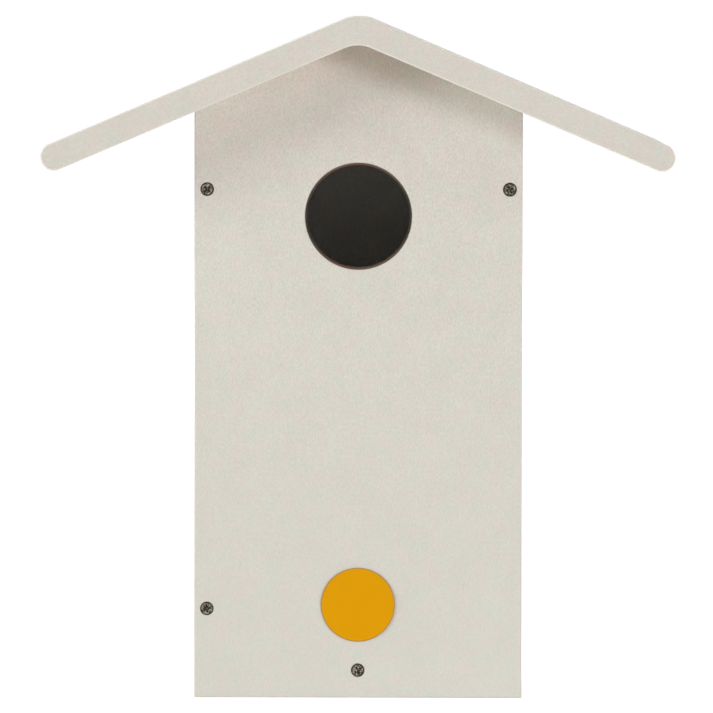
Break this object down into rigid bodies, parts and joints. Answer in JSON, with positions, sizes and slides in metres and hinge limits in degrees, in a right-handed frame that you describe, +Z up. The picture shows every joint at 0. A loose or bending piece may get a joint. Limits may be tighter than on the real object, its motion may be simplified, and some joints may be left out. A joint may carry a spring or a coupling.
{
  "type": "bluebird house",
  "caption": "Nest box of recycled plastic sheet with a round entrance, a chevron roof over the front and a side door that swings out for cleaning.",
  "frame": {"origin": "centre of the overall box, on the plane that the walls' lower edges stand on", "axes": "+Z up, +Y out of the back that goes against the post, +X to the right of someone who faces the entrance"},
  "size_m": [0.2322, 0.1598, 0.2531],
  "materials": {
    "recycled_sheet": "matte",
    "coated_steel": "satin",
    "amber_label": "satin"
  },
  "bodies": {
    "house": {"front_panel": "recycled_sheet", "back_panel": "recycled_sheet", "left_side": "recycled_sheet", "floor": "recycled_sheet", "roof": "recycled_sheet", "label_disc": "amber_label", "front_screw_upper_left": "coated_steel", "back_screw_upper_left": "coated_steel", "front_screw_lower_left": "coated_steel", "back_screw_lower_left": "coated_steel", "front_screw_floor": "coated_steel", "back_screw_floor": "coated_steel", "left_floor_screw": "coated_steel", "roof_screw_front_left": "coated_steel", "roof_screw_front_right": "coated_steel", "roof_screw_back_left": "coated_steel", "roof_screw_back_right": "coated_steel"},
    "door": {"side_door": "recycled_sheet", "front_pivot_screw": "coated_steel", "back_pivot_screw": "coated_steel", "door_lock_screw": "coated_steel"}
  },
  "joints": [
    {"name": "door_swing", "type": "hinge", "parent": "house", "child": "door", "pos_m": [0.0561, 0.01905, 0.18887], "axis": [0, -1, 0], "range_deg": [0, 92]}
  ]
}
